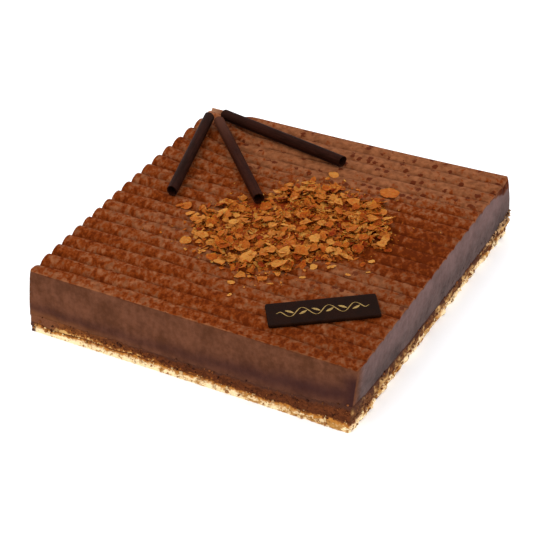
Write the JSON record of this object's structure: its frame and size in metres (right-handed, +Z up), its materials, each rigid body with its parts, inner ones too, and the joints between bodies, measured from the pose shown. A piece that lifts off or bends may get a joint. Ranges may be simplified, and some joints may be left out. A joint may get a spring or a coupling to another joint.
{
  "type": "square trianon cake",
  "caption": "Square layered chocolate mousse cake on a praline crisp and nut sponge, with a combed top, wafer flakes, chocolate sticks and a bare plaque.",
  "frame": {"origin": "middle of the flat underside", "axes": "+Z up, +X along the combed ridges of the top, +Y towards the edge where the chocolate sticks meet"},
  "size_m": [0.2062, 0.2068, 0.0478],
  "materials": {
    "sponge": "matte",
    "crisp": "rough",
    "mousse": "satin",
    "wafer": "satin",
    "dark_chocolate": "satin",
    "milk_chocolate": "satin",
    "plaque": "satin"
  },
  "bodies": {
    "root": {"dacquoise_base": "sponge", "praline_crisp": "crisp", "chocolate_mousse": "mousse", "flake_heap": "wafer", "stick_left": "dark_chocolate", "stick_middle": "milk_chocolate", "stick_right": "dark_chocolate", "plaque": "plaque"}
  },
  "joints": []
}
